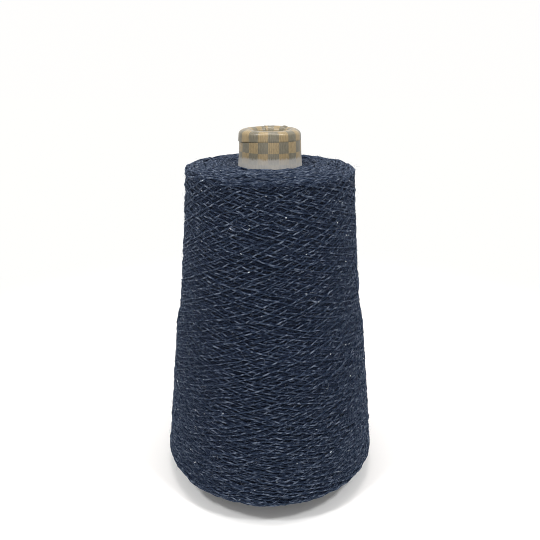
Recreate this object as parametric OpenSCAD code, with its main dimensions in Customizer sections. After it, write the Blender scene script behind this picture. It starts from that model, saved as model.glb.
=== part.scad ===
// Cone of knitting yarn: a rolled paper cone that carries a cross-wound package of yarn.
// Millimetres, +Z up, origin on the axis at the base edge of the paper cone.

/* [Paper cone] */
// Height of the cone, from its cut base to the crest of its rolled nose
cone_len = 230; // [225:1:260]
// Outside diameter of the board at the base
cone_base_d = 69.8; // [68:0.1:84]
// Slope of the cone's wall from its axis, in degrees (4 degrees 20 minutes)
cone_taper = 4.333; // [3.5:0.05:4.6]
// Thickness of the rolled board wall
board_t = 2; // [1:0.1:2.6]
// Thickness of the printed paper that covers the board
cover_t = 0.25; // [0.2:0.05:0.5]
// Outside radius of the board where the nose is rolled inwards
nose_roll_r = 3.8; // [3:0.1:4.5]
// Length of the straight flap that the roll ends in
nose_flap = 6; // [3:0.5:12]
// Height of bare cone that shows between the package and the ground band's top edge
ground_band = 5.5; // [2:0.5:10]

/* [Wound package] */
// Diameter of the wound body at its lower edge
package_base_d = 139; // [120:0.5:170]
// Diameter of the wound body at its upper edge
package_top_d = 97.5; // [80:0.5:120]
// Height of the wound body at its outer edge, from the lower edge to the upper edge
package_h = 192.5; // [160:0.5:198]
// Height of the package's lower edge above the base of the cone
package_lift = 15; // [8:0.5:18]
// Rounding of the package's upper and lower edges
edge_round = 3; // [1:0.5:5]
// Height that the end faces rise from their outer edge to the cone
face_rise = 1.5; // [0:0.1:4]
// Height of the waist above the lower edge, where the winding steps in
waist_h = 101; // [60:1:130]
// Depth of the step at the waist
waist_depth = 1.4; // [0:0.1:3]
// Height that the step at the waist takes
waist_ease = 10; // [4:1:20]

/* [Yarn] */
// Diameter of the yarn
yarn_d = 1.2; // [0.8:0.1:1.8]
// Number of strokes that the yarn makes up and down the package in its outer lay
strokes = 12; // [4:2:12]
// Distance from the package's edges to the turning points of the strokes
turn_margin = 6; // [5:0.5:12]

/* [Clearances] */
// Film of glue between the board and its paper cover
glue_gap = 0.05; // [0.02:0.01:0.1]
// Gap between the paper cover and the wound body
grip_gap = 0.1; // [0.05:0.05:0.3]
// Gap between the wound body and the turns that lie on it
seat_gap = 0.15; // [0.1:0.05:0.3]
// Gap between two turns where they cross
cross_gap = 0.45; // [0.42:0.01:0.6]

/* [Hidden] */
$fn = 128;

// Rings round one loop of yarn, rings in one stroke, and sides of the yarn's section.
// A stroke is a twelfth of a loop short of two loops, so six double strokes share out one circle.
loop_rings = 24;
stroke_rings = 46;
yarn_sides = 6;
// Rings over which a stroke slows down at each turning point, and rings left off the last stroke
ease_rings = 2;
tail_rings = 3;
// Steps in the bend where an end of the yarn turns down into the body, and the bend's radius
bend_steps = 4;
bend_r = yarn_d;
// Clearance under the two cut ends of the yarn
tip_gap = 0.05;

// Steps in an arc of each profile
roll_steps = 16;
edge_steps = 6;
flank_steps = 24;

// ---- Paper cone ----

base_r = cone_base_d / 2;
taper_run = tan(cone_taper);
crest_z = cone_len - cover_t - glue_gap;
roll_z = crest_z - nose_roll_r;
roll_c = base_r - roll_z * taper_run - nose_roll_r / cos(cone_taper);

// Outline of the wall at a distance outside the board, from the base over the nose to the flap's end
function wall_line(out) = concat(
    [[base_r + out / cos(cone_taper), 0]],
    [for (i = [0:roll_steps])
        let (a = cone_taper + (180 - cone_taper) * i / roll_steps)
        [roll_c + (nose_roll_r + out) * cos(a), roll_z + (nose_roll_r + out) * sin(a)]],
    [[roll_c - nose_roll_r - out, roll_z - nose_flap]]
);

function reversed(list) = [for (i = [len(list) - 1:-1:0]) list[i]];

// A ply of the cone between two distances from the board's outer face
module ply(inner, outer) {
    rotate_extrude() polygon(concat(wall_line(outer), reversed(wall_line(inner))));
}

// Sheet of board rolled to a cone, its nose turned in on itself to a smooth lip
module board_cone() {
    color("#9b8e79") ply(-board_t, 0);
}

// Printed paper glued round the board and turned in with the nose;
// from the ground band down its print is ground pale, so that the yarn grips it
module paper_cover() {
    ground_top = package_lift + package_h + face_rise + ground_band;
    color("#96846a") intersection() {
        ply(glue_gap, glue_gap + cover_t);
        above(ground_top);
    }
    color("#9d9a91") difference() {
        ply(glue_gap, glue_gap + cover_t);
        above(ground_top);
    }
}

// Everything inside the cone's outline that is higher than z
module above(z) {
    translate([0, 0, z]) cylinder(r = cone_base_d, h = cone_len);
}

// ---- Wound body ----

low_z = package_lift;
high_z = package_lift + package_h;

// How far through its rise a smooth step is, for x from 0 to 1
function smooth(x) = let (t = min(max(x, 0), 1)) t * t * (3 - 2 * t);

// The waist steps in by waist_depth, and the winding swells back to its full size at the top
function waist(h) =
    waist_depth * smooth((h - waist_h) / waist_ease + 0.5)
    * (1 - max(h - waist_h, 0) / (package_h - waist_h));

// Radius of the wound body at height z
function flank_r(z) =
    let (h = z - low_z)
    (package_base_d + (package_top_d - package_base_d) * h / package_h) / 2 - waist(h);

// Radius of the cone's printed face, and of the package's bore, at height z
function bore_r(z) = base_r - z * taper_run + (glue_gap + cover_t + grip_gap) / cos(cone_taper);

// Rounded edge between an end face and the flank: side is -1 below and 1 above
function edge_arc(z, side) =
    let (c = z - side * edge_round, r = flank_r(c) - edge_round)
    [for (i = [0:edge_steps])
        let (a = side * 90 * (side > 0 ? i : edge_steps - i) / edge_steps)
        [r + edge_round * cos(a), c + edge_round * sin(a)]];

module yarn_body() {
    low_in = low_z - face_rise;
    high_in = high_z + face_rise;
    flank_low = low_z + 2 * edge_round;
    flank_high = high_z - 2 * edge_round;
    color("#2c3546") rotate_extrude() polygon(concat(
        [[bore_r(low_in), low_in]],
        edge_arc(low_z, -1),
        [for (i = [0:flank_steps])
            let (z = flank_low + (flank_high - flank_low) * i / flank_steps) [flank_r(z), z]],
        edge_arc(high_z, 1),
        [[bore_r(high_in), high_in]]
    ));
}

// ---- Outer turns ----

// One unbroken yarn that strokes up and down the body: a stroke up lies on the body,
// and a stroke down lies over the strokes up.

turn_low = low_z + turn_margin;
turn_high = high_z - turn_margin;
last_ring = strokes * stroke_rings - tail_rings;

function unit(v) = v / norm(v);

// Share of the stroke's height at ring i of the stroke, slowing down at both ends
function stroke_share(i) =
    let (v = 1 / (stroke_rings - ease_rings), left = stroke_rings - i)
    i < ease_rings ? v * i * i / (2 * ease_rings)
    : left < ease_rings ? 1 - v * left * left / (2 * ease_rings)
    : v * (i - ease_rings / 2);

// Height of ring i of the whole yarn; ring -1 is a copy of ring 1
function ring_z(i) =
    let (k = abs(i), stroke = floor(k / stroke_rings), share = stroke_share(k - stroke * stroke_rings))
    turn_low + (turn_high - turn_low) * (stroke % 2 == 0 ? share : 1 - share);

// 0 where the yarn lies on the body, 1 where it lies over another turn, and halfway at a turning point
function ring_lay(i) =
    i < 0 ? 1
    : i % stroke_rings == 0 ? 0.5
    : floor(i / stroke_rings) % 2;

// Centre of ring i: the chords between rings, and not only the rings, clear the body
function ring_centre(i) =
    let (z = ring_z(i), a = 360 * i / loop_rings,
        r = (flank_r(z) + seat_gap + yarn_d / 2 + ring_lay(i) * (yarn_d + cross_gap))
            / cos(180 / loop_rings))
    [r * cos(a), r * sin(a), z];

// Unit vector square to the body's flank at ring i
function flank_normal(i) =
    let (z = ring_z(i), a = 360 * i / loop_rings, lean = (flank_r(z - 1) - flank_r(z + 1)) / 2)
    unit([cos(a), sin(a), lean]);

// A station of the yarn is its centre, its direction and the side that its section is measured from
function station(centre, along, out) = [centre, unit(along), unit(cross(along, out))];

function lay_station(i) =
    station(ring_centre(i), ring_centre(min(i + 1, last_ring)) - ring_centre(max(i - 1, -1)), flank_normal(i));

// Distance from a point to the body's flank along the normal n
function height_over_body(p, n) = (norm([p[0], p[1]]) - flank_r(p[2])) * norm([n[0], n[1]]);

// The yarn's end at ring i bends down and meets the body square; way is 1 at its start, -1 at its end
function end_stations(i, way) =
    let (top = lay_station(i), n = flank_normal(i), t = way * top[1], side = top[2],
        foot = top[0] - bend_r * (n + t),
        tip = foot - n * (height_over_body(foot, n) - tip_gap))
    concat(
        [[tip, way * n, side], [foot, way * n, side]],
        [for (k = [1:bend_steps - 1])
            let (q = 90 * k / bend_steps)
            [foot + bend_r * (n * sin(q) + t * (1 - cos(q))), way * (n * cos(q) + t * sin(q)), side]]
    );

yarn_stations = concat(
    end_stations(-1, 1),
    [for (i = [-1:last_ring]) lay_station(i)],
    reversed(end_stations(last_ring, -1))
);

// Least gap between two turns, measured between stations that are over half a loop apart
function least_gap(stations) =
    let (n = len(stations), apart = loop_rings / 2)
    min([for (i = [0:n - 1]) for (j = [i + apart:n - 1]) norm(stations[i][0] - stations[j][0])]) - yarn_d;

// Closed tube of triangles through the stations
module tube(stations, d, sides) {
    n = len(stations);
    points = [for (s = stations) for (k = [0:sides - 1])
        let (a = 360 * k / sides)
        s[0] + d / 2 * (cos(a) * s[2] + sin(a) * cross(s[1], s[2]))];
    walls = [for (i = [0:n - 2]) for (k = [0:sides - 1])
        let (a = i * sides + k, b = i * sides + (k + 1) % sides)
        each [[a, a + sides, b], [b, a + sides, b + sides]]];
    end = (n - 1) * sides;
    caps = [for (k = [1:sides - 2]) each [[0, k, k + 1], [end, end + k + 1, end + k]]];
    polyhedron(points, concat(walls, caps));
}

module outer_turns() {
    echo(least_gap_mm = least_gap(yarn_stations), loops = last_ring / loop_rings);
    color("#4a566c") tube(yarn_stations, yarn_d, yarn_sides);
}

board_cone();
paper_cover();
yarn_body();
outer_turns();
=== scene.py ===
"""Cone of knitting yarn: a rolled paper cone with a cross-wound package of tweed yarn, in metres, +Z up."""
import math

import bmesh
import bpy
import numpy as np
from mathutils import Matrix, Vector


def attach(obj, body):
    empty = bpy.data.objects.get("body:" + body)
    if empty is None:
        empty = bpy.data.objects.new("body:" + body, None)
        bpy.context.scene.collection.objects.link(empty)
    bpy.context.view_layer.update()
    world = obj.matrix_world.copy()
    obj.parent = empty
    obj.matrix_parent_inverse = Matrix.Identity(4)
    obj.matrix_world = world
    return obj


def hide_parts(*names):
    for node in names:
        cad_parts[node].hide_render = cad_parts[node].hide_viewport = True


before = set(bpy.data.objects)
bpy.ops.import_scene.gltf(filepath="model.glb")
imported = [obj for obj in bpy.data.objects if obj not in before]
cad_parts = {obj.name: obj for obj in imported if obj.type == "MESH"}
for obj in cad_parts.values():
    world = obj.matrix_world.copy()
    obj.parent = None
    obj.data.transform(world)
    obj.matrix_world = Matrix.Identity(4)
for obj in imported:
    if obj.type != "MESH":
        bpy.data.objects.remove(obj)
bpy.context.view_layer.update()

# ---- Camera, light and floor ----
# The camera looks down on the cone from the front. Two small lamps, two soft panels and an even
# pale room light the object, and the floor is a plain white sweep.

CAMERA_BACK = 0.3292
CAMERA_UP = 0.2607
CAMERA_PITCH = math.radians(20.01)
CAMERA_LENS = 35.9

camera_data = bpy.data.cameras.new("camera")
camera_data.lens = CAMERA_LENS
camera_data.sensor_width = 36
camera = bpy.data.objects.new("camera", camera_data)
camera.location = (0, -CAMERA_BACK, CAMERA_UP)
camera.rotation_euler = (math.pi / 2 - CAMERA_PITCH, 0, 0)
bpy.context.collection.objects.link(camera)
bpy.context.scene.camera = camera
bpy.context.scene.view_settings.view_transform = "Standard"
bpy.context.scene.cycles.filter_width = 0.9

# The small lamps, high in front at the sides, cast the crossed shadows on the floor; a soft panel
# overhead and a low one in front fill them a little
LAMP_UP, LAMP_ASIDE, LAMP_FORWARD = 1.5, 0.765, 0.495
LAMP_WATTS, CEILING_WATTS, FRONT_WATTS = 10.9, 4.6, 3.5
WARM = (1.0, 0.93, 0.90)


def area_lamp(name, place, turn, energy, shape, size, size_y=0, tint=(1, 1, 1)):
    """A lamp of that shape and power, turned from shining straight down."""
    lamp_data = bpy.data.lights.new(name, "AREA")
    lamp_data.shape = shape
    lamp_data.size = size
    lamp_data.size_y = size_y or size
    lamp_data.energy = energy
    lamp_data.color = tint
    lamp = bpy.data.objects.new(name, lamp_data)
    lamp.location = place
    lamp.rotation_euler = turn
    bpy.context.collection.objects.link(lamp)


for name, side in (("left_lamp", -1), ("right_lamp", 1)):
    place = Vector((side * LAMP_ASIDE, -LAMP_FORWARD, LAMP_UP))
    area_lamp(name, place, place.to_track_quat("Z", "Y").to_euler(), LAMP_WATTS, "DISK", 0.25)
area_lamp("ceiling_panel", (0, 0, 1.2), (0, 0, 0), CEILING_WATTS, "DISK", 0.4, tint=WARM)
area_lamp("front_panel", (0, -1.5, 0.28), (math.pi / 2, 0, 0), FRONT_WATTS, "RECTANGLE", 1.8, 0.35, tint=WARM)


def add_node(tree, kind, values=None, **settings):
    """A node of that kind in the tree; values go to its inputs, and settings to the node itself."""
    made = tree.nodes.new("ShaderNode" + kind)
    for name, setting in settings.items():
        setattr(made, name, setting)
    for name, value in (values or {}).items():
        made.inputs[name].default_value = value
    return made


def finish_of(name, roughness, specular=0.5):
    """A new material of that roughness and shine, with its node tree and its shader."""
    material = bpy.data.materials.new(name)
    material.use_nodes = True
    shader = material.node_tree.nodes["Principled BSDF"]
    shader.inputs["Roughness"].default_value = roughness
    shader.inputs["Specular IOR Level"].default_value = specular
    return material, material.node_tree, shader


world = bpy.data.worlds.new("pale_room")
bpy.context.scene.world = world
world.use_nodes = True
tree = world.node_tree
room = tree.nodes["Background"]
room.inputs["Color"].default_value = (1.0, 0.995, 0.985, 1)
# The room is brighter behind the object than in front of it, and the camera sees it as white
way = add_node(tree, "TexCoord")
parts = add_node(tree, "SeparateXYZ")
deep = add_node(tree, "MapRange", {"From Min": -0.1, "From Max": 0.9, "To Min": 0.62, "To Max": 1.0})
seen = add_node(tree, "LightPath")
strength = add_node(tree, "MapRange", {"To Max": 1.0})
tree.links.new(way.outputs["Generated"], parts.inputs["Vector"])
tree.links.new(parts.outputs["Y"], deep.inputs["Value"])
tree.links.new(deep.outputs["Result"], strength.inputs["To Min"])
tree.links.new(seen.outputs["Is Camera Ray"], strength.inputs["Value"])
tree.links.new(strength.outputs["Result"], room.inputs["Strength"])

FLOOR_HALF = 6.0
SWEEP_START, SWEEP_END = 0.16, 0.5

floor_mesh = bpy.data.meshes.new("floor")
bm = bmesh.new()
bmesh.ops.create_grid(bm, x_segments=1, y_segments=1, size=FLOOR_HALF)
bm.to_mesh(floor_mesh)
bm.free()
floor = bpy.data.objects.new("floor", floor_mesh)
bpy.context.collection.objects.link(floor)
floor_finish, tree, paint = finish_of("white_sweep", 0.9, 0.1)
paint.inputs["Base Color"].default_value = (0.87, 0.87, 0.865, 1)
# Away from the object the camera sees the sweep as plain white
place = add_node(tree, "TexCoord")
far = add_node(tree, "VectorMath", operation="LENGTH")
fade = add_node(tree, "MapRange", {"From Min": SWEEP_START, "From Max": SWEEP_END},
                interpolation_type="SMOOTHSTEP")
seen = add_node(tree, "LightPath")
share = add_node(tree, "Math", operation="MULTIPLY")
white = add_node(tree, "Emission", {"Color": (1, 1, 0.985, 1)})
both = add_node(tree, "MixShader")
tree.links.new(place.outputs["Object"], far.inputs[0])
tree.links.new(far.outputs["Value"], fade.inputs["Value"])
tree.links.new(fade.outputs["Result"], share.inputs[0])
tree.links.new(seen.outputs["Is Camera Ray"], share.inputs[1])
tree.links.new(share.outputs["Value"], both.inputs["Fac"])
tree.links.new(paint.outputs["BSDF"], both.inputs[1])
tree.links.new(white.outputs["Emission"], both.inputs[2])
tree.links.new(both.outputs["Shader"], tree.nodes["Material Output"].inputs["Surface"])
floor_mesh.materials.append(floor_finish)

# ---- Board cone ----
# A sheet of grey-brown board, wound in glued turns to a cone and turned in at the nose.
# It is seen inside the cone and at the cut edge that the cone stands on.

CONE_TAPER = math.radians(4.333)


def shade_ramp(tree, *stops):
    """A ramp of colours from dark to pale; each stop is its position and its colour."""
    made = add_node(tree, "ValToRGB")
    elements = made.color_ramp.elements
    elements.remove(elements[1])
    elements[0].position = stops[0][0]
    for position, _ in stops[1:]:
        elements.new(position)
    for element, (_, colour) in zip(elements, stops):
        element.color = (*colour, 1)
    return made


board, tree, pulp = finish_of("grey_board", 0.85, 0.25)
place = add_node(tree, "TexCoord")
fibres = add_node(tree, "Mapping", {"Scale": (900, 900, 260)})
speckle = add_node(tree, "TexNoise", {"Scale": 1.0, "Detail": 4.0, "Roughness": 0.6})
clouds = add_node(tree, "TexNoise", {"Scale": 60.0, "Detail": 2.0})
tone = add_node(tree, "Mix", {"Factor": 0.35}, data_type="FLOAT")
shades = shade_ramp(tree, (0.3, (0.22, 0.18, 0.125)), (0.72, (0.42, 0.35, 0.26)))
rough = add_node(tree, "Bump", {"Strength": 0.35, "Distance": 0.0002})
tree.links.new(place.outputs["Object"], fibres.inputs["Vector"])
tree.links.new(fibres.outputs["Vector"], speckle.inputs["Vector"])
tree.links.new(place.outputs["Object"], clouds.inputs["Vector"])
tree.links.new(speckle.outputs["Fac"], tone.inputs["A"])
tree.links.new(clouds.outputs["Fac"], tone.inputs["B"])
tree.links.new(tone.outputs["Result"], shades.inputs["Fac"])
tree.links.new(shades.outputs["Color"], pulp.inputs["Base Color"])
tree.links.new(speckle.outputs["Fac"], rough.inputs["Height"])
tree.links.new(rough.outputs["Normal"], pulp.inputs["Normal"])
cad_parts["board_cone"].data.materials.clear()
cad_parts["board_cone"].data.materials.append(board)

# ---- Printed paper cover ----
# One fan of paper with a plain check printed along its arcs, rolled round the board with a glued lap
# at the back. Turned in with the nose it creases, and its printed face is ground pale lower down.

PAPER_T = 0.00025
PAPER_BASE_R = 0.0353
SHOULDER_UP = 0.22725
CREST_R, CREST_UP = 0.0136, 0.2301
FLAP_R, FLAP_UP = 0.00985, 0.2259
FLAP = 0.006
LAP = math.radians(14)
SHEET_ROUND = 300
SHEET_START = 0.0003
SHEET_ROWS = 86
CREASES = 0.0002
# Each set of creases is its count round the cone, its share of their height and its shift
CREASE_SETS = ((5, 0.45, 0.4), (9, 0.35, 2.1), (17, 0.2, 0.9))
SWELL = 0.00025
BEAD = 0.00072
BEAD_SIDE = math.radians(-161)
HANG = 0.0012
HANG_SIDE = math.radians(-163)
# Each fold is its direction round the cone, its height off the board and its half width round the cone
FOLDS = ((7.14, 0.0005, 0.09), (6.98, -0.0007, 0.07))
SWELL_REACH = 0.0095
CHECK_WIDE, CHECK_TALL = 0.00605, 0.00635
CHECK_COLUMN = -0.00072
CHECK_GREY, CHECK_TAN = (0.155, 0.141, 0.102, 1), (0.280, 0.212, 0.112, 1)
LINE_PITCH = 0.00105
CHECK_ROW = 0.21804
GROUND_TOP = 0.2143
NOSE_ROW = CHECK_ROW / math.cos(CONE_TAPER) + CHECK_TALL
SCUFF_AND_GLINT_UP = 0.2277
NOSE_TILT = 0.00038
NOSE_DRAW = 0.8

# The nose's profile: the wall runs up to a tight shoulder, slopes in to a crest and turns down inside
shoulder_r = PAPER_BASE_R - SHOULDER_UP * math.tan(CONE_TAPER)
quarter = np.linspace(0, math.pi / 2, 60)
outer_turn = [(CREST_R + (shoulder_r - CREST_R) * math.cos(a),
               SHOULDER_UP + (CREST_UP - SHOULDER_UP) * math.sin(a)) for a in quarter]
inner_turn = [(CREST_R - (CREST_R - FLAP_R) * math.sin(a),
               FLAP_UP + (CREST_UP - FLAP_UP) * math.cos(a)) for a in quarter[1:]]
nose_line = np.array([(PAPER_BASE_R, 0.0), *outer_turn, *inner_turn, (FLAP_R, FLAP_UP - FLAP)])
nose_run = np.concatenate([[0], np.cumsum(np.hypot(*np.diff(nose_line, axis=0).T))])
flank = nose_run[1]
turn = nose_run[-2] - flank
sheet_length = nose_run[-1]


def sheet_profile(along):
    """Radius, height, and outward direction of the paper's face, at a length along it from the base."""
    low, here, high = (np.array([np.interp(at, nose_run, nose_line[:, k]) for k in (0, 1)])
                       for at in (along - 0.0001, along, along + 0.0001))
    step = (high - low) / np.linalg.norm(high - low)
    return here[0], here[1], (step[1], -step[0])


def ease(x):
    """A smooth step from 0 to 1 while x goes from 0 to 1."""
    t = np.minimum(np.maximum(x, 0), 1)
    return t * t * (3 - 2 * t)


def hang(around):
    """How far the turned-in nose hangs down over the wall: it does so on one side."""
    return HANG * max(0, math.cos(around - HANG_SIDE)) ** 5


def stand_off(around, along):
    """How far the paper stands off the board: it swells toward the nose, and turned in, it gathers."""
    turned_in = ease((along - flank - 0.0005) / (turn * 0.5))
    creases = 0
    for count, weight, shift in CREASE_SETS:
        wave = math.sin(count * around + shift + 1.6 * math.sin(3 * around + shift) + 90 * (along - flank))
        creases += weight * (1 - abs(wave)) ** 1.5
    swell = SWELL * ease((along - NOSE_ROW + SWELL_REACH) / SWELL_REACH)
    swell *= 1 - ease((along - flank - turn / 2) / (turn / 2))
    bead_side = max(0, math.cos(around - BEAD_SIDE))
    bead = BEAD * (0.08 + 0.92 * bead_side**5) * ease((along + hang(around) - NOSE_ROW) / 0.0004)
    bead *= 1 - ease((along - flank) / (turn * 0.6))
    folds = sum(high * math.exp(-((around - at) / wide) ** 2) for at, high, wide in FOLDS)
    return CREASES * turned_in * creases + swell + bead + turned_in * folds


# The sheet is first flat: its angle round the cone is across, and its length along the wall is up, with
# the grid's rows closest together at the crease. Its map is in metres of the print, whose rows are arcs
# of the fan, drawn in over the nose and down where it hangs
PULL_REACH = 0.005
bm = bmesh.new()
bmesh.ops.create_grid(bm, x_segments=SHEET_ROUND, y_segments=SHEET_ROWS, size=0.5)
sheet_map = bm.loops.layers.uv.new("sheet")
for vert in bm.verts:
    vert.co.x = (vert.co.x + 0.5) * (2 * math.pi + LAP)
    row = (vert.co.y + 0.5) * SHEET_ROWS
    vert.co.y = np.interp(row, (0, 12, 30, 46, SHEET_ROWS),
                          (SHEET_START, 0.204, NOSE_ROW - 0.0018, NOSE_ROW + 0.0008, sheet_length))
arc_r = PAPER_BASE_R - NOSE_ROW * math.sin(CONE_TAPER)
for face in bm.faces:
    face.smooth = True
    for loop in face.loops:
        angle, along = loop.vert.co.xy
        pulled = hang(angle + math.pi / 2) * ease(1 - abs(along - NOSE_ROW) / PULL_REACH)
        printed = min(along, NOSE_ROW) + NOSE_DRAW * max(along - NOSE_ROW, 0) + pulled
        loop[sheet_map].uv = (arc_r * (angle - math.pi), printed)
for vert in bm.verts:
    angle, along = vert.co.x, vert.co.y
    r, z, out = sheet_profile(along)
    around = angle + math.pi / 2
    off = stand_off(around, along) + PAPER_T * 1.1 * (angle / (2 * math.pi) - 1)
    tilt = NOSE_TILT * ease((along - flank) / turn * 2) * math.sin(around)
    r, z = r + off * out[0], z + off * out[1] + tilt
    vert.co = (r * math.cos(around), r * math.sin(around), z)
bmesh.ops.solidify(bm, geom=bm.faces[:], thickness=PAPER_T)
bmesh.ops.recalc_face_normals(bm, faces=bm.faces)
cover_mesh = bpy.data.meshes.new("printed_cover")
bm.to_mesh(cover_mesh)
bm.free()

print_finish, tree, paper = finish_of("check_print", 0.5, 0.4)
sheet = add_node(tree, "UVMap", uv_map="sheet")


def sheet_line(tree, height):
    """How far round the sheet a point is, and how far above the line at that height on the cone."""
    split = add_node(tree, "SeparateXYZ")
    tree.links.new(sheet.outputs["UV"], split.inputs[0])
    above = add_node(tree, "Math", {1: height / math.cos(CONE_TAPER)}, operation="SUBTRACT")
    tree.links.new(split.outputs["Y"], above.inputs[0])
    return split.outputs["X"], above.outputs[0]


first_row = CHECK_ROW / math.cos(CONE_TAPER)
squares = add_node(tree, "Mapping", {"Location": (-CHECK_COLUMN / CHECK_WIDE, -first_row / CHECK_TALL, 0),
                                     "Scale": (1 / CHECK_WIDE, 1 / CHECK_TALL, 1)})
waver = add_node(tree, "TexNoise", {"Scale": 700.0, "Detail": 3.0})
check = add_node(tree, "TexChecker", {"Scale": 1.0, "Color1": CHECK_GREY, "Color2": CHECK_TAN})
tree.links.new(sheet.outputs["UV"], squares.inputs["Vector"])
tree.links.new(sheet.outputs["UV"], waver.inputs["Vector"])
added = add_node(tree, "VectorMath", {"Scale": 0.09}, operation="SCALE")
moved = add_node(tree, "VectorMath", operation="ADD")
tree.links.new(waver.outputs["Color"], added.inputs[0])
tree.links.new(squares.outputs["Vector"], moved.inputs[0])
tree.links.new(added.outputs["Vector"], moved.inputs[1])
flat = add_node(tree, "VectorMath", {1: (1, 1, 0)}, operation="MULTIPLY")
tree.links.new(moved.outputs["Vector"], flat.inputs[0])
tree.links.new(flat.outputs["Vector"], check.inputs["Vector"])
# Fine lines of the print run up the sheet
across, above_ground = sheet_line(tree, GROUND_TOP)
count_lines = add_node(tree, "Math", {1: 2 * math.pi / LINE_PITCH}, operation="MULTIPLY")
tree.links.new(across, count_lines.inputs[0])
ripple = add_node(tree, "Math", operation="SINE")
tree.links.new(count_lines.outputs[0], ripple.inputs[0])
grain = add_node(tree, "Mapping", {"Scale": (2600, 420, 1)})
streaks = add_node(tree, "TexNoise", {"Scale": 1.0, "Detail": 3.0, "Roughness": 0.6})
tree.links.new(sheet.outputs["UV"], grain.inputs["Vector"])
tree.links.new(grain.outputs["Vector"], streaks.inputs["Vector"])
inked = add_node(tree, "MapRange", {"From Min": -1.0, "From Max": 1.0, "To Min": -0.09, "To Max": 0.09})
tree.links.new(ripple.outputs[0], inked.inputs["Value"])
streaked = add_node(tree, "MapRange", {"From Min": 0.25, "From Max": 0.75, "To Min": 0.7, "To Max": 1.3})
tree.links.new(streaks.outputs["Fac"], streaked.inputs["Value"])
ink = add_node(tree, "Math", operation="ADD")
tree.links.new(inked.outputs["Result"], ink.inputs[0])
tree.links.new(streaked.outputs["Result"], ink.inputs[1])
lined = add_node(tree, "VectorMath", operation="SCALE")
tree.links.new(check.outputs["Color"], lined.inputs[0])
tree.links.new(ink.outputs[0], lined.inputs["Scale"])
# A dark line of painted shade and dirt lies in the crease between two rows, as dark all round; the bead above
# it stands out most on one side
up_row = sheet_line(tree, NOSE_ROW * math.cos(CONE_TAPER))[1]
from_line = add_node(tree, "Math", {1: 0.00005}, operation="ADD")
tree.links.new(up_row, from_line.inputs[0])
off_line = add_node(tree, "Math", operation="ABSOLUTE")
tree.links.new(from_line.outputs[0], off_line.inputs[0])
crease_shade_and_dirt = add_node(tree, "MapRange", {"From Min": 0.00012, "From Max": 0.0005, "To Min": 0.6, "To Max": 1.0})
tree.links.new(off_line.outputs[0], crease_shade_and_dirt.inputs["Value"])
shaded = add_node(tree, "VectorMath", operation="SCALE")
tree.links.new(lined.outputs["Vector"], shaded.inputs[0])
tree.links.new(crease_shade_and_dirt.outputs["Result"], shaded.inputs["Scale"])
# Over the shoulder the print is scuffed by handling, with pale specks painted there as highlights, and inside
# the nose it is worn to a blur
scuff_and_glint_noise = add_node(tree, "TexNoise", {"Scale": 1500.0, "Detail": 2.0, "Roughness": 0.7})
tree.links.new(sheet.outputs["UV"], scuff_and_glint_noise.inputs["Vector"])
up_nose = sheet_line(tree, SCUFF_AND_GLINT_UP)[1]
over = add_node(tree, "MapRange", {"From Min": -0.002, "From Max": 0.0025, "To Min": 0.0, "To Max": 0.3})
tree.links.new(up_nose, over.inputs["Value"])
worn_in = add_node(tree, "MapRange", {"From Min": 0.0045, "From Max": 0.0075, "To Min": 0.0, "To Max": 0.2})
tree.links.new(up_nose, worn_in.inputs["Value"])
scuffs_and_glints = add_node(tree, "MapRange", {"From Min": 0.53, "From Max": 0.64})
tree.links.new(scuff_and_glint_noise.outputs["Fac"], scuffs_and_glints.inputs["Value"])
wear_and_glints = add_node(tree, "Math", operation="MULTIPLY_ADD")
tree.links.new(over.outputs["Result"], wear_and_glints.inputs[0])
tree.links.new(scuffs_and_glints.outputs["Result"], wear_and_glints.inputs[1])
tree.links.new(worn_in.outputs["Result"], wear_and_glints.inputs[2])
# The pale mix over the shoulder is part real wear and part painted highlight
worn_and_glinting = add_node(tree, "Mix", {"B": (0.42, 0.36, 0.25, 1)}, data_type="RGBA")
tree.links.new(wear_and_glints.outputs[0], worn_and_glinting.inputs["Factor"])
tree.links.new(shaded.outputs["Vector"], worn_and_glinting.inputs["A"])
# Below the ground line the print is rubbed pale: in ragged strokes at first, with the check still
# faint in it, and more thoroughly lower down
ragged = add_node(tree, "Mapping", {"Scale": (900, 240, 1)})
strokes_up = add_node(tree, "TexNoise", {"Scale": 1.0, "Detail": 4.0, "Roughness": 0.65})
tree.links.new(sheet.outputs["UV"], ragged.inputs["Vector"])
tree.links.new(ragged.outputs["Vector"], strokes_up.inputs["Vector"])
torn = add_node(tree, "MapRange", {"From Min": 0.3, "From Max": 0.7, "To Min": -0.0007, "To Max": 0.0007},
                clamp=False)
tree.links.new(strokes_up.outputs["Fac"], torn.inputs["Value"])
edge = add_node(tree, "Math", operation="ADD")
tree.links.new(above_ground, edge.inputs[0])
tree.links.new(torn.outputs["Result"], edge.inputs[1])
rubbed = add_node(tree, "MapRange", {"From Min": 0.0008, "From Max": -0.0005, "To Min": 0.0, "To Max": 0.62})
tree.links.new(edge.outputs[0], rubbed.inputs["Value"])
deeper = add_node(tree, "MapRange", {"From Min": -0.0010, "From Max": -0.0045, "To Min": 0.0, "To Max": 0.22})
tree.links.new(edge.outputs[0], deeper.inputs["Value"])
ground = add_node(tree, "Math", operation="ADD")
tree.links.new(rubbed.outputs["Result"], ground.inputs[0])
tree.links.new(deeper.outputs["Result"], ground.inputs[1])
blotches = add_node(tree, "MapRange", {"From Min": 0.3, "From Max": 0.7, "To Min": 0.86, "To Max": 1.14},
                    clamp=False)
tree.links.new(strokes_up.outputs["Fac"], blotches.inputs["Value"])
chalk = add_node(tree, "VectorMath", {0: (0.475, 0.470, 0.455)}, operation="SCALE")
tree.links.new(blotches.outputs["Result"], chalk.inputs["Scale"])
pale = add_node(tree, "Mix", data_type="RGBA")
tree.links.new(ground.outputs[0], pale.inputs["Factor"])
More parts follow.
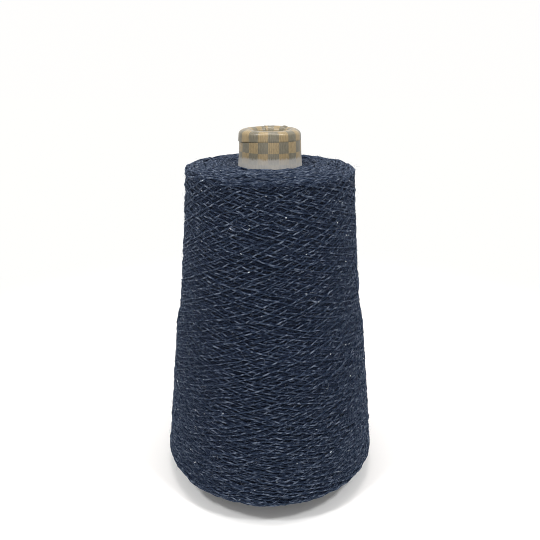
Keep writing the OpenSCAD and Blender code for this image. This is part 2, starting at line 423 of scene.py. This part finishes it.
tree.links.new(worn_and_glinting.outputs["Result"], pale.inputs["A"])
tree.links.new(chalk.outputs["Vector"], pale.inputs["B"])
tree.links.new(pale.outputs["Result"], paper.inputs["Base Color"])
gloss = add_node(tree, "MapRange", {"From Min": 0.0, "From Max": 0.7, "To Min": 0.31, "To Max": 0.85})
tree.links.new(ground.outputs[0], gloss.inputs["Value"])
tree.links.new(gloss.outputs["Result"], paper.inputs["Roughness"])
tooth = add_node(tree, "Bump", {"Strength": 0.25, "Distance": 0.00012})
tree.links.new(streaks.outputs["Fac"], tooth.inputs["Height"])
tree.links.new(tooth.outputs["Normal"], paper.inputs["Normal"])


def piece_of(name, mesh, finish, slot, *nodes):
    """A finished piece on the part's one body; it stands for the CAD nodes that it names."""
    made = bpy.data.objects.new(name, mesh)
    bpy.context.collection.objects.link(made)
    mesh.materials.append(finish)
    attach(made, "root")
    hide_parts(*nodes)


piece_of("printed_cover", cover_mesh, print_finish, "printed_paper", "paper_cover")

# ---- Yarn on the flank ----
# One continuous tweed yarn of wool, crossed to and fro in strokes from edge to edge of the package.
# It is laid stroke by stroke on a height map of the package, so that it climbs over what lies below.

YARN_R = 0.00037
PACKAGE_LOW = 0.0140
PACKAGE_H = 0.1936
PACKAGE_LOW_R = 0.0719
PACKAGE_HIGH_R = 0.0510
WAIST_UP = 0.1003
WAIST_DEPTH = 0.0015
WAIST_EASE = 0.012
LOW_ROUND, HIGH_ROUND = 0.0006, 0.0003
LOW_BULGE, HIGH_BULGE = 0.0007, 0.0005
BULGE_UP = 0.003
LOW_ANGLE = math.radians(13)
HIGH_ANGLE = math.radians(23)
RISE_STEEP, FALL_STEEP = 1.3, 0.78
DOUBLE_STROKES = 220
BURIED_STROKES = 84
FINE_STEP = 0.0004
STATION_STEPS = 5
TURN_LENGTH = 0.024
EDGE_MARGIN = 0.0005
# Each wander of the yarn from its even course is its reach and the length of its waves
SLOW_WANDER, QUICK_WANDER = (0.00045, 0.05), (0.00042, 0.0042)
TURN_SPREAD = 0.0010
COURSE_SPREAD = 0.012
EDGE_CLEAR = 0.0004
# Shares of its radius that a yarn stands up where it is pressed on, and where it has settled in a gap
PRESSED_SHARE, SETTLED_SHARE = 0.8, 0.56
# How far it rests on the highest yarns below, and how far it bridges what is uneven
RESTING_SHARE, BRIDGING_SHARE = 0.42, 0.6
FALL_SINK = 0.00020
BRIDGE_LENGTH = 0.004
MAP_ROUND = 900
MAP_UP = 440
LEVEL_REACH = 0.008
# Shares of the map, in per cent, that lie under the face of the buried yarn and of the finished package
BURIED_SHARE, FINISHED_SHARE = 50, 93

random = np.random.default_rng(7)


def outline(up):
    """Radius of the finished package at a height above its lower edge."""
    above = np.clip(up - WAIST_UP, 0, None) / (PACKAGE_H - WAIST_UP)
    waist = WAIST_DEPTH * ease((up - WAIST_UP) / WAIST_EASE + 0.5) * (1 - above**2)
    rounding = 0
    for radius, inside in ((LOW_ROUND, up), (HIGH_ROUND, PACKAGE_H - up)):
        edge = np.clip(radius - inside, 0, radius)
        rounding = rounding + radius - np.sqrt(radius**2 - edge**2)
    bulge = LOW_BULGE * np.exp(-up / BULGE_UP) + HIGH_BULGE * np.exp((up - PACKAGE_H) / BULGE_UP)
    return PACKAGE_LOW_R + (PACKAGE_HIGH_R - PACKAGE_LOW_R) * up / PACKAGE_H - waist - rounding + bulge


def soft_noise(count, step, length):
    """Smooth noise of unit spread along a yarn: count samples a step apart, with waves of that length."""
    knots = random.standard_normal(int(count * step / length) + 4)
    place = np.arange(count) * step / length + 1
    at = place.astype(int)
    t = ease(place - at)
    return knots[at] * (1 - t) + knots[at + 1] * t


def blurred(values, reach, wrap=False):
    """Values averaged along their length with a bell of that reach in samples."""
    bell = np.hanning(2 * reach + 3)
    bell /= bell.sum()
    padded = np.pad(values, reach + 1, mode="wrap" if wrap else "edge")
    return np.convolve(padded, bell, "valid")


def stroke_rise(steepness):
    """Heights of a stroke from edge to edge at even steps along the yarn."""
    heights = np.linspace(0.0, PACKAGE_H, 2000)
    wind_angle = steepness * (LOW_ANGLE + (HIGH_ANGLE - LOW_ANGLE) * heights / PACKAGE_H)
    travel = np.concatenate([[0], np.cumsum(np.diff(heights) / np.sin(wind_angle[:-1]))])
    return np.interp(np.arange(int(travel[-1] / FINE_STEP)) * FINE_STEP, travel, heights)


# One double stroke: the yarn goes up steeper than it comes down, and its turns are rounded off
rise = stroke_rise(RISE_STEEP)
to_and_fro = np.concatenate([rise, stroke_rise(FALL_STEEP)[::-1]])
stroke_up = blurred(to_and_fro, int(TURN_LENGTH / FINE_STEP / 2), wrap=True)
stroke_up = np.interp(stroke_up, (stroke_up.min(), stroke_up.max()), (EDGE_MARGIN, PACKAGE_H - EDGE_MARGIN))
climb = np.gradient(stroke_up, FINE_STEP)
turn_rate = np.sqrt(1 - climb**2) / outline(stroke_up)
turned = np.cumsum(turn_rate) * FINE_STEP
# Each double stroke starts a golden share of a turn on from the last, so that no two fall in line
GOLDEN = (math.sqrt(5) - 1) / 2
per_double = (round(turned[-1] / (2 * math.pi) - GOLDEN) + GOLDEN) * 2 * math.pi
turned *= per_double / turned[-1]

height_map = np.zeros((MAP_UP, MAP_ROUND))


def map_at(up, around):
    """Rows and columns of the height map at places on the package."""
    row = np.clip((up / PACKAGE_H * MAP_UP).astype(int), 0, MAP_UP - 1)
    column = (around / (2 * math.pi) * MAP_ROUND).astype(int) % MAP_ROUND
    return row, column


def laid(up, around, climb):
    """Height at which a yarn comes to lie over the map; the yarn is then added to the map."""
    radius = outline(up)
    offsets = np.linspace(-1, 1, 7) * YARN_R
    places = [map_at(up + w * np.sqrt(1 - climb**2), around - w * climb / radius) for w in offsets]
    crowns = [PRESSED_SHARE * math.sqrt(YARN_R**2 - w**2) for w in offsets]
    under = np.array([height_map[at] for at in places])
    propped = np.max([below + crown for below, crown in zip(under, crowns)], axis=0)
    sunk = under.mean(axis=0) + SETTLED_SHARE * YARN_R
    # It rests partly on the highest yarns below and partly pressed in between them, bridging the gaps
    resting = RESTING_SHARE * propped + (1 - RESTING_SHARE) * sunk
    bridging = blurred(resting, int(BRIDGE_LENGTH / FINE_STEP))
    height = (1 - BRIDGING_SHARE) * resting + BRIDGING_SHARE * bridging
    for at, crown in zip(places, crowns):
        np.maximum.at(height_map, at, height + crown)
    return height


def level_of(values, share):
    """Height under which that share of the map lies, for each height above the package's lower edge."""
    by_row = np.percentile(values, share, axis=1)
    by_row[:4], by_row[-4:] = by_row[4], by_row[-5]
    eased = blurred(by_row, int(LEVEL_REACH / PACKAGE_H * MAP_UP))
    return lambda up: np.interp(up, np.linspace(0, PACKAGE_H, MAP_UP), eased)


strokes = []
count = len(stroke_up)
share = stroke_up / PACKAGE_H
for double in range(DOUBLE_STROKES):
    if double == BURIED_STROKES:
        buried_level = level_of(height_map, BURIED_SHARE)
    wander = sum(reach * soft_noise(count, FINE_STEP, length)
                 for reach, length in (SLOW_WANDER, QUICK_WANDER))
    low_turn, high_turn = TURN_SPREAD * random.random(2)
    up = stroke_up + wander + low_turn * (1 - share) ** 6 - high_turn * share**6
    up = np.clip(up, EDGE_CLEAR, PACKAGE_H - EDGE_CLEAR)
    around = double * per_double + turned + COURSE_SPREAD * random.standard_normal()
    height = np.zeros(count)
    # The way down is laid first, and sinks a little under the way up
    for way, sink in ((slice(len(rise), count), FALL_SINK), (slice(0, len(rise)), 0)):
        height[way] = laid(up[way], around[way], climb[way]) - sink * np.sin(np.pi * share[way])
    strokes.append((up, around, height))
finished_level = level_of(height_map, FINISHED_SHARE)
# The map smoothed out tells how high the yarns lie all round a place
surroundings = np.apply_along_axis(blurred, 1, height_map, 5, True)
surroundings = np.apply_along_axis(blurred, 0, surroundings, 5)


def yarn_points(up, around, height):
    """Places of a yarn that lies that high on the map, drawn in so that the package keeps its outline."""
    out = outline(up) - finished_level(up) + height
    return np.stack([out * np.cos(around), out * np.sin(around), PACKAGE_LOW + up], axis=1)


BAKE_ROWS = 230
PLY_TWIST = 0.0026


def yarn_mesh(name, runs, thickness=YARN_R, sides=6):
    """Tubes of yarn along runs; each run is its points, and the thickness and depth share at each of them."""
    curve = bpy.data.curves.new(name, "CURVE")
    curve.dimensions = "3D"
    curve.bevel_depth = thickness
    curve.bevel_resolution = sides // 2 - 2
    curve.use_fill_caps = True
    for points, swell, _ in runs:
        spline = curve.splines.new("POLY")
        spline.points.add(len(points) - 1)
        spline.points.foreach_set("co", np.c_[points, np.ones(len(points))].ravel())
        spline.points.foreach_set("radius", swell)
    holder = bpy.data.objects.new(name, curve)
    bpy.context.collection.objects.link(holder)
    bpy.context.view_layer.update()
    mesh = bpy.data.meshes.new_from_object(holder)
    mesh.name = name
    bpy.data.objects.remove(holder)
    map_yarn(mesh, [len(run[0]) for run in runs], sides, np.concatenate([run[2] for run in runs]))
    bm = bmesh.new()
    bm.from_mesh(mesh)
    bmesh.ops.remove_doubles(bm, verts=bm.verts, dist=1e-7)
    for face in bm.faces:
        face.smooth = True
    bm.to_mesh(mesh)
    bm.free()
    return mesh


def map_yarn(mesh, stations, sides, depths):
    """Maps of the tubes: "run" counts stations along the yarn, "depth" is how deep the yarn lies among the
    others, from 0 to 1, and "OFBake" lays the yarn out in rows.

    Each tube's ends come first, last tube first, and then its walls, station by station."""
    stations = np.array(stations)
    walls = (stations - 1) * sides
    tube_of_face = np.concatenate([np.repeat(np.arange(len(stations))[::-1], 2 * (sides - 2)),
                                   np.repeat(np.arange(len(stations)), walls)])
    corners = np.zeros(len(mesh.polygons), int)
    mesh.polygons.foreach_get("loop_total", corners)
    tube = np.repeat(tube_of_face, corners)
    face = np.repeat(np.arange(len(corners)), corners)
    uv = np.zeros(2 * len(mesh.loops))
    mesh.uv_layers[0].uv.foreach_get("vector", uv)
    uv = uv.reshape(-1, 2)
    start = np.concatenate([[0], np.cumsum(stations)])[tube]
    at = start + uv[:, 0] * (stations[tube] - 1)
    mesh.uv_layers[0].name = "run"
    mesh.uv_layers[0].uv.foreach_set("vector", np.c_[at, uv[:, 1]].ravel())
    deep = np.interp(at, np.arange(len(depths)), depths)
    mesh.uv_layers.new(name="depth").uv.foreach_set("vector", np.c_[deep, deep].ravel())
    per_row = math.ceil(stations.sum() / BAKE_ROWS) + 1
    first = np.full(len(corners), np.inf)
    np.minimum.at(first, face, at)
    row = np.floor((first[face] + 1e-3) / per_row)
    laid_out = mesh.uv_layers.new(name="OFBake")
    laid_out.uv.foreach_set("vector", np.c_[(at - row * per_row) / per_row,
                                            (row + 0.05 + 0.9 * uv[:, 1]) / BAKE_ROWS].ravel())


def tweed_group():
    """Heather of the yarn, on metres along it and its share round, with painted shade where it lies deep and
    painted light where it stands out.

    Dashes of paler wool come and go along the yarn, and its relief follows the twist of the ply."""
    group = bpy.data.node_groups.new("tweed_heather_and_shade", "ShaderNodeTree")
    face = group.interface
    face.new_socket("Run", in_out="INPUT", socket_type="NodeSocketVector")
    face.new_socket("Depth", in_out="INPUT", socket_type="NodeSocketVector")
    face.new_socket("Color", in_out="OUTPUT", socket_type="NodeSocketColor")
    face.new_socket("Relief", in_out="OUTPUT", socket_type="NodeSocketFloat")
    given = group.nodes.new("NodeGroupInput")
    result = group.nodes.new("NodeGroupOutput")

    def link(a, b):
        group.links.new(a, b)

    split = add_node(group, "SeparateXYZ")
    link(given.outputs["Run"], split.inputs[0])
    # Round the yarn once is a full circle, and the ply twists once in its twist length
    twist = add_node(group, "MapRange", {"From Min": 0.0, "From Max": PLY_TWIST, "To Max": 1.0}, clamp=False)
    link(split.outputs["X"], twist.inputs["Value"])
    phase = add_node(group, "Math", operation="ADD")
    link(split.outputs["Y"], phase.inputs[0])
    link(twist.outputs["Result"], phase.inputs[1])
    circle = add_node(group, "Math", {1: 2 * math.pi}, operation="MULTIPLY")
    link(phase.outputs[0], circle.inputs[0])
    sine = add_node(group, "Math", operation="SINE")
    cosine = add_node(group, "Math", operation="COSINE")
    link(circle.outputs[0], sine.inputs[0])
    link(circle.outputs[0], cosine.inputs[0])
    along = add_node(group, "Math", {1: 1000.0}, operation="MULTIPLY")
    link(split.outputs["X"], along.inputs[0])
    run = add_node(group, "CombineXYZ")
    link(along.outputs[0], run.inputs["X"])
    link(sine.outputs[0], run.inputs["Y"])
    link(cosine.outputs[0], run.inputs["Z"])

    def noise_of(scale, detail, rough=0.5):
        stretch = add_node(group, "Mapping", {"Scale": scale})
        noise = add_node(group, "TexNoise", {"Scale": 1.0, "Detail": detail, "Roughness": rough})
        link(run.outputs[0], stretch.inputs["Vector"])
        link(stretch.outputs["Vector"], noise.inputs["Vector"])
        return noise.outputs["Fac"]

    dashes = noise_of((0.22, 0.1, 0.1), 1.5, 0.5)
    fibres = noise_of((0.8, 2.2, 2.2), 2.0, 0.6)
    mixed = add_node(group, "Math", {1: 0.77}, operation="MULTIPLY")
    link(dashes, mixed.inputs[0])
    more = add_node(group, "Math", {1: 0.23}, operation="MULTIPLY_ADD")
    link(fibres, more.inputs[0])
    link(mixed.outputs[0], more.inputs[2])
    wool = shade_ramp(group, (0.415, (0.0050, 0.0102, 0.0235)), (0.50, (0.0162, 0.0252, 0.0452)),
                      (0.56, (0.048, 0.061, 0.089)), (0.64, (0.104, 0.126, 0.166)))
    link(more.outputs[0], wool.inputs["Fac"])
    # Yarn that lies deep among the others is painted darker and bluer, as shade, and yarn that stands out is
    # painted lighter, as light
    depth = add_node(group, "SeparateXYZ")
    link(given.outputs["Depth"], depth.inputs[0])
    shade = add_node(group, "Mix", {"A": (1.48, 1.47, 1.45, 1), "B": (0.32, 0.40, 0.56, 1)}, data_type="RGBA")
    link(depth.outputs["X"], shade.inputs["Factor"])
    shaded = add_node(group, "VectorMath", operation="MULTIPLY")
    link(wool.outputs["Color"], shaded.inputs[0])
    link(shade.outputs["Result"], shaded.inputs[1])
    link(shaded.outputs["Vector"], result.inputs["Color"])
    ridge = add_node(group, "Math", operation="ABSOLUTE")
    link(sine.outputs[0], ridge.inputs[0])
    relief = add_node(group, "Math", {1: 0.5}, operation="MULTIPLY_ADD")
    link(fibres, relief.inputs[0])
    link(ridge.outputs[0], relief.inputs[2])
    link(relief.outputs[0], result.inputs["Relief"])
    return group


STATION_GAP = FINE_STEP * STATION_STEPS

tweed_wool, tree, wool = finish_of("tweed_wool", 0.9, 0.12)
wool.inputs["Sheen Weight"].default_value = 0.15
wool.inputs["Sheen Roughness"].default_value = 0.45
wool.inputs["Sheen Tint"].default_value = (0.52, 0.65, 0.92, 1)
run = add_node(tree, "UVMap", uv_map="run")
depth = add_node(tree, "UVMap", uv_map="depth")
size = add_node(tree, "Mapping", {"Scale": (STATION_GAP, 1, 1)})
heather_with_shade = add_node(tree, "Group", node_tree=tweed_group())
relief = add_node(tree, "Bump", {"Strength": 0.45, "Distance": 0.00025})
tree.links.new(run.outputs["UV"], size.inputs["Vector"])
tree.links.new(size.outputs["Vector"], heather_with_shade.inputs["Run"])
tree.links.new(depth.outputs["UV"], heather_with_shade.inputs["Depth"])
tree.links.new(heather_with_shade.outputs["Color"], wool.inputs["Base Color"])
tree.links.new(heather_with_shade.outputs["Relief"], relief.inputs["Height"])
tree.links.new(relief.outputs["Normal"], wool.inputs["Normal"])

LAYS = 8
DEEP = 0.0006
# Each swell of the yarn is its share of the yarn's thickness and the length of its waves
SHORT_SWELL, LONG_SWELL = (0.1, 0.005), (0.06, 0.03)
shown = strokes[BURIED_STROKES:]
for lay in range(LAYS):
    part = shown[lay * len(shown) // LAYS:(lay + 1) * len(shown) // LAYS]
    up, around, height = (np.concatenate([s[k] for s in part])[::STATION_STEPS] for k in range(3))
    points = yarn_points(up, around, height)
    swell = 1 + sum(reach * soft_noise(len(points), STATION_GAP, length)
                    for reach, length in (SHORT_SWELL, LONG_SWELL))
    # Yarn below its neighbours is painted darker, as shade; the painted shade grows higher up, where strands
    # cross more steeply, and the lowest yarn is painted lighter, as light off the floor
    below = surroundings[map_at(up, around)] - height - 0.5 * YARN_R
    depth = np.clip(0.36 + 0.12 * up / PACKAGE_H + below / DEEP * (0.6 + 0.65 * up / PACKAGE_H), 0, 1)
    mesh = yarn_mesh(f"yarn_lay_{lay + 1}", [(points, np.clip(swell, 0.6, 1.5), depth)])
    piece_of(f"yarn_lay_{lay + 1}", mesh, tweed_wool, "yarn", "outer_turns")

# ---- Turns at the end faces ----
# Where a stroke of the yarn reaches an end of the package, it lies on the end face for a short arc
# before it goes back. Layer on layer of such arcs make the face, which rises a little to the cone.

FACE_RISE = 0.0021
FACE_TILT = 0.0004
BORE_DIP = 0.0010
END_DIP = 0.0014
BORE_R = 0.0196
LOW_FACE_R, HIGH_FACE_R = 0.0713, 0.0510
LOW_FACE_ROUND, HIGH_FACE_ROUND = 0.0012, 0.0006
# Shares of the face's width over which it rises at its edge and dips at the cone
RISE_WIDTH, DIP_WIDTH = 0.3, 0.18
LOW_ARCS, HIGH_ARCS = 1750, 1450
ARC_HALF = 0.009
ARC_STATIONS = 9
ARC_SLANT, ARC_WAVE = 0.0014, 0.0005
ARC_LIFT = 0.0002
SINK_MOST, SINK_WAVE = 0.0010, 0.0003


def end_arcs(side, outer_r, rounding, arcs):
    """Arcs of yarn at an end face and over its rounded edge: side is 1 above and -1 below."""
    runs = []
    s = np.linspace(-1, 1, ARC_STATIONS)
    for number in range(arcs):
        radius = outer_r - (outer_r - BORE_R) * (number / arcs) ** 1.25
        half = ARC_HALF * random.uniform(0.75, 1.35)
        r = radius + ARC_SLANT * random.standard_normal() * s + ARC_WAVE * soft_noise(ARC_STATIONS, 1.0, 2.0)
        r = np.clip(r, BORE_R, outer_r)
        over = np.clip(r - outer_r + rounding, 0, rounding)
        inward = (outer_r - r) / (outer_r - BORE_R)
        z = FACE_RISE * (1 - (1 - np.clip(inward / RISE_WIDTH, 0, 1)) ** 2)
        z = z - BORE_DIP * np.clip((inward - 1 + DIP_WIDTH) / DIP_WIDTH, 0, 1) ** 2
        z = z - rounding + np.sqrt(rounding**2 - over**2)
        sunk = SINK_MOST * random.random() + END_DIP * np.abs(s) ** 3
        sunk = sunk - SINK_WAVE * soft_noise(ARC_STATIONS, 1.0, 2.0)
        around = random.uniform(0, 2 * math.pi) + s * half / radius
        z = z - sunk + ARC_LIFT - FACE_TILT * np.cos(around) * (r / outer_r) ** 3
        base = PACKAGE_LOW + (PACKAGE_H if side > 0 else 0)
        points = np.stack([r * np.cos(around), r * np.sin(around), base + side * (z - YARN_R * 0.6)], axis=1)
        # Arcs that lie sunk are painted darker, as shade
        runs.append((points, np.clip(1 + 0.12 * random.standard_normal(ARC_STATIONS), 0.7, 1.3),
                     np.clip(0.45 * sunk / DEEP, 0, 1)))
    return runs


bottom_arcs = end_arcs(-1, LOW_FACE_R, LOW_FACE_ROUND, LOW_ARCS)
top_arcs = end_arcs(1, HIGH_FACE_R, HIGH_FACE_ROUND, HIGH_ARCS)
for name, arcs in (("yarn_bottom_turns", bottom_arcs), ("yarn_top_turns", top_arcs)):
    piece_of(name, yarn_mesh(name, arcs), tweed_wool, "yarn", "outer_turns")

# ---- Buried yarn ----
# The inner layers of the same yarn, wound on the cone before the outer ones. They are seen only in the gaps
# between the outer strokes, so they are one body with lines of strands, painted darker than the outer yarn as
# shade.

CORE_SPIN = 160
CORE_BACK = 0.0002
CORE_FACE_OUT = 0.0012
CORE_BORE_R = BORE_R - 0.0004
ups = np.linspace(0.001, PACKAGE_H - 0.001, 60)
core_r = outline(ups) - finished_level(ups) + buried_level(ups) - CORE_BACK
profile = [(CORE_BORE_R, PACKAGE_LOW - CORE_FACE_OUT), *[(r, PACKAGE_LOW + u) for r, u in zip(core_r, ups)],
           (CORE_BORE_R, PACKAGE_LOW + PACKAGE_H + CORE_FACE_OUT)]
bm = bmesh.new()
verts = [bm.verts.new((r, 0, z)) for r, z in profile]
for a, b in zip(verts, verts[1:]):
    bm.edges.new((a, b))
bmesh.ops.spin(bm, geom=bm.edges[:], cent=(0, 0, 0), axis=(0, 0, 1), angle=2 * math.pi,
               steps=CORE_SPIN, use_merge=True)
bmesh.ops.recalc_face_normals(bm, faces=bm.faces)
core_mesh = bpy.data.meshes.new("yarn_core")
bm.to_mesh(core_mesh)
bm.free()
core_finish, tree, buried = finish_of("buried_wool_in_painted_shade", 0.95)
place = add_node(tree, "TexCoord")
lying = add_node(tree, "Mapping", {"Scale": (300, 300, 1100)})
strands = add_node(tree, "TexNoise", {"Scale": 1.0, "Detail": 3.0, "Roughness": 0.6})
# The buried yarn's colours are much darker than the outer yarn's: painted shade
shades = shade_ramp(tree, (0.40, (0.003, 0.006, 0.014)), (0.66, (0.022, 0.033, 0.058)))
ridges = add_node(tree, "Bump", {"Strength": 0.6, "Distance": 0.0005})
tree.links.new(place.outputs["Object"], lying.inputs["Vector"])
tree.links.new(lying.outputs["Vector"], strands.inputs["Vector"])
tree.links.new(strands.outputs["Fac"], shades.inputs["Fac"])
tree.links.new(shades.outputs["Color"], buried.inputs["Base Color"])
tree.links.new(strands.outputs["Fac"], ridges.inputs["Height"])
tree.links.new(ridges.outputs["Normal"], buried.inputs["Normal"])
piece_of("yarn_core", core_mesh, core_finish, "yarn", "yarn_body")

# ---- Stray fibres and neps ----
# Single fibres of the wool stand off the yarn all over it. The neps are the small pale knots of wool
# that are spun into a tweed yarn, and they show on the strands that lie outermost.

FIBRES = 4200
FIBRE_R = 0.000028
FIBRE_LENGTH = (0.0015, 0.0045)
FIBRE_LIFT = (0.15, 0.9)
FIBRE_BEND = 0.4
NEPS = 420
NEP_R, NEP_R_SPREAD = 0.00014, 0.00020
NEP_STRETCH = (1.2, 3.6)
OUTERMOST = 36
RAISED_DEPTH = 0.0009
ON_TOP_CHANCE = 1.6

outer = [np.concatenate([s[k] for s in strokes[-OUTERMOST:]]) for k in range(3)]
raised = outer[2] > finished_level(outer[0]) - RAISED_DEPTH
on_flank = yarn_points(*(values[raised] for values in outer))
on_top = np.concatenate([arc[0] for arc in top_arcs])
spots = np.concatenate([on_flank, on_top])
ahead = np.roll(spots, -1, axis=0) - spots
outward = spots * (1, 1, 0)
outward /= np.linalg.norm(outward, axis=1)[:, None]
outward[len(on_flank):] = (0, 0, 1)
chance = np.concatenate([np.full(len(on_flank), 1.0), np.full(len(on_top), ON_TOP_CHANCE)])
picked = random.choice(len(spots), FIBRES + NEPS, replace=False, p=chance / chance.sum())

hairs = []
for at in picked[:FIBRES]:
    start, out = spots[at], outward[at]
    way = random.standard_normal(3)
    way[2] *= 0.7
    way -= out * (way @ out)
    way /= np.linalg.norm(way)
    length, lift = random.uniform(*FIBRE_LENGTH), random.uniform(*FIBRE_LIFT)
    t = np.linspace(0, 1, 5)[:, None]
    bend = np.cross(out, way) * random.uniform(-FIBRE_BEND, FIBRE_BEND)
    path = start + out * YARN_R * 0.6 + length * (way * t + bend * t**2 + out * lift * (t - 0.55 * t**2))
    hairs.append((path, np.linspace(1.2, 0.5, 5), np.zeros(5)))
fibre_finish, tree, hair = finish_of("stray_fibre", 0.7)
place = add_node(tree, "TexCoord")
patches = add_node(tree, "TexNoise", {"Scale": 300.0, "Detail": 1.0})
shades = shade_ramp(tree, (0.4, (0.03, 0.045, 0.08)), (0.62, (0.30, 0.33, 0.39)))
tree.links.new(place.outputs["Object"], patches.inputs["Vector"])
tree.links.new(patches.outputs["Fac"], shades.inputs["Fac"])
tree.links.new(shades.outputs["Color"], hair.inputs["Base Color"])
fibre_mesh = yarn_mesh("yarn_fibres", hairs, thickness=FIBRE_R, sides=4)
piece_of("yarn_fibres", fibre_mesh, fibre_finish, "yarn", "outer_turns")

bm = bmesh.new()
for at in picked[FIBRES:]:
    along, out = ahead[at] / np.linalg.norm(ahead[at]), outward[at]
    size = NEP_R + NEP_R_SPREAD * random.random() ** 2
    turn_to = Matrix((along, np.cross(out, along), out)).transposed().to_4x4()
    shape = Matrix.Diagonal((size * random.uniform(*NEP_STRETCH), size, size * 0.7, 1))
    place_at = Matrix.Translation(spots[at] + out * YARN_R * 0.75)
    bmesh.ops.create_icosphere(bm, subdivisions=1, radius=1.0, matrix=place_at @ turn_to @ shape)
for face in bm.faces:
    face.smooth = True
nep_mesh = bpy.data.meshes.new("yarn_neps")
bm.to_mesh(nep_mesh)
bm.free()
nep_finish, tree, nep = finish_of("white_nep", 0.9)
place = add_node(tree, "TexCoord")
patches = add_node(tree, "TexNoise", {"Scale": 180.0, "Detail": 1.0})
shades = shade_ramp(tree, (0.40, (0.26, 0.31, 0.37)), (0.62, (0.68, 0.73, 0.76)))
tree.links.new(place.outputs["Object"], patches.inputs["Vector"])
tree.links.new(patches.outputs["Fac"], shades.inputs["Fac"])
tree.links.new(shades.outputs["Color"], nep.inputs["Base Color"])
piece_of("yarn_neps", nep_mesh, nep_finish, "yarn", "outer_turns")
